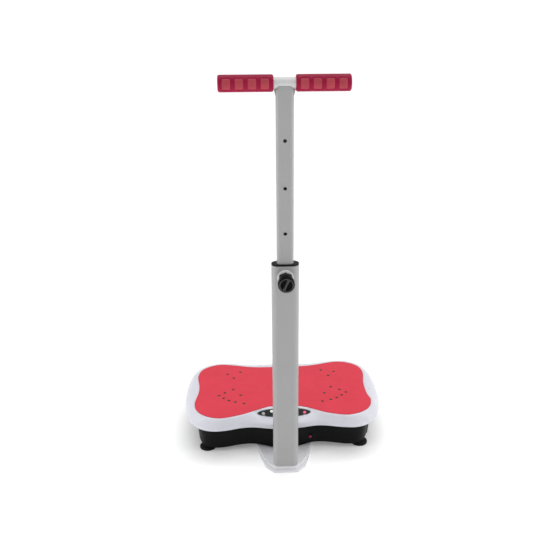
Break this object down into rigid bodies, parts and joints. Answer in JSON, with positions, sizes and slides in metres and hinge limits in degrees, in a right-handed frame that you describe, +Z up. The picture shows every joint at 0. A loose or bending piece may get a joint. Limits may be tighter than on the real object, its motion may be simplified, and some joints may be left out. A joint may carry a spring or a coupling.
{
  "type": "vibration plate",
  "caption": "Rocking vibration plate with a red mat, white cover and black base, on suction feet, with a telescoping T handle post on a clamped foot plate.",
  "frame": {"origin": "on the floor, in the middle of the object's footprint", "axes": "+Z up the post, +X along the deck's length to the user's left, -Y towards the post and handle"},
  "size_m": [0.53, 0.4292, 0.9745],
  "materials": {
    "base_black": "fine satin texture",
    "frame_steel": "black powder coat",
    "cast_metal": "as cast",
    "bright_steel": "bright",
    "dark_steel": "blackened",
    "motor_can": "zinc plated",
    "black_rubber": "matt",
    "board_green": "solder mask",
    "heat_sink": "anodised",
    "trim_black": "satin",
    "sensor_red": "clear dark red",
    "foot_paint": "light grey paint",
    "tube_paint": "light grey powder coat",
    "washer_white": "white",
    "cover_white": "white satin",
    "mat_red": "fine grain",
    "stud_green": "dark olive",
    "panel_dark": "smoked",
    "display_grey": "dark",
    "grip_crimson": "satin",
    "grip_pad": "ribbed",
    "knob_black": "satin",
    "rocker_black": "gloss",
    "key_silver": "silver",
    "key_red": "red"
  },
  "bodies": {
    "base": {"base_shell": "base_black", "base_frame": "frame_steel", "pivot_blocks": "cast_metal", "crank_blocks": "cast_metal", "shaft_bearings": "bright_steel", "motor_body": "motor_can", "motor_mount": "frame_steel", "drive_belt": "black_rubber", "controller_board": "board_green", "board_parts": "heat_sink", "power_inlet": "trim_black", "rocker_bezel": "trim_black", "sensor_window": "sensor_red", "suction_feet": "black_rubber", "foot_screws": "bright_steel", "foot_plate": "foot_paint", "foot_channel": "foot_paint", "channel_pins": "dark_steel", "clamp_pad": "black_rubber", "foot_bolts": "bright_steel", "post_tube": "tube_paint", "post_cap": "trim_black", "pin_washer": "washer_white", "pin_collar": "trim_black"},
    "deck": {"deck_cover": "cover_white", "deck_mat": "mat_red", "mat_studs": "stud_green", "deck_frame": "frame_steel", "deck_screws": "bright_steel", "pivot_bracket": "frame_steel", "pivot_shaft": "bright_steel", "link_pin": "bright_steel", "panel_lens": "panel_dark", "panel_display": "display_grey", "panel_board": "board_green"},
    "drive_rod": {"connecting_rod": "cast_metal"},
    "crank": {"crank_shaft": "bright_steel", "crank_eccentric": "dark_steel", "eccentric_bearing": "bright_steel", "driven_pulley": "cast_metal"},
    "motor_rotor": {"motor_shaft": "bright_steel", "motor_pulley": "cast_metal"},
    "mast": {"mast_tube": "tube_paint", "mast_glide": "trim_black", "handle_bar": "tube_paint", "handle_gussets": "tube_paint", "grip_left": "grip_crimson", "grip_right": "grip_crimson", "grip_pads": "grip_pad"},
    "lock_pin": {"pull_knob": "knob_black", "plunger_pin": "bright_steel", "pin_spring": "bright_steel"},
    "rocker": {"power_rocker": "rocker_black"},
    "mode_key": {"button_mode": "key_silver"},
    "slower_key": {"button_speed_down": "key_silver"},
    "faster_key": {"button_speed_up": "key_silver"},
    "power_key": {"button_power": "key_red"}
  },
  "joints": [
    {"name": "deck_rock", "type": "hinge", "parent": "base", "child": "deck", "pos_m": [0, 0.0545, 0.06], "axis": [0, 1, 0], "range_deg": [-1, 1]},
    {"name": "drive_rod_swing", "type": "hinge", "parent": "deck", "child": "drive_rod", "pos_m": [0.09, 0.0145, 0.083], "axis": [0, 1, 0], "range_deg": [-1.2, 1.2]},
    {"name": "crank_spin", "type": "hinge", "parent": "base", "child": "crank", "pos_m": [0.09, 0.0545, 0.046], "axis": [0, 1, 0], "continuous": true},
    {"name": "motor_spin", "type": "hinge", "parent": "base", "child": "motor_rotor", "pos_m": [0.166, 0.0545, 0.046], "axis": [0, 1, 0], "continuous": true},
    {"name": "mast_slide", "type": "slide", "parent": "base", "child": "mast", "axis": [0, 0, 1], "range_m": [-0.309, 0]},
    {"name": "lock_pull", "type": "slide", "parent": "base", "child": "lock_pin", "axis": [0, -1, 0], "range_m": [0, 0.008], "stiffness_N_per_m": 900, "springref_m": -0.004, "deforming": ["pin_spring"]},
    {"name": "rocker_tip", "type": "hinge", "parent": "base", "child": "rocker", "pos_m": [-0.144, 0.1865, 0.042], "axis": [1, 0, 0], "range_deg": [-6, 6]},
    {"name": "mode_press", "type": "slide", "parent": "deck", "child": "mode_key", "axis": [0, 0.2242, -0.9745], "range_m": [0, 0.0008], "stiffness_N_per_m": 900, "springref_m": -0.0006},
    {"name": "slower_press", "type": "slide", "parent": "deck", "child": "slower_key", "axis": [0, 0.2242, -0.9745], "range_m": [0, 0.0008], "stiffness_N_per_m": 900, "springref_m": -0.0006},
    {"name": "faster_press", "type": "slide", "parent": "deck", "child": "faster_key", "axis": [0, 0.2242, -0.9745], "range_m": [0, 0.0008], "stiffness_N_per_m": 900, "springref_m": -0.0006},
    {"name": "power_press", "type": "slide", "parent": "deck", "child": "power_key", "axis": [0, 0.2242, -0.9745], "range_m": [0, 0.0008], "stiffness_N_per_m": 900, "springref_m": -0.0006}
  ],
  "couplings": [
    {"joint": "drive_rod_swing", "follows": "deck_rock", "ratio": -1},
    {"joint": "motor_spin", "follows": "crank_spin", "ratio": 3.5714}
  ]
}
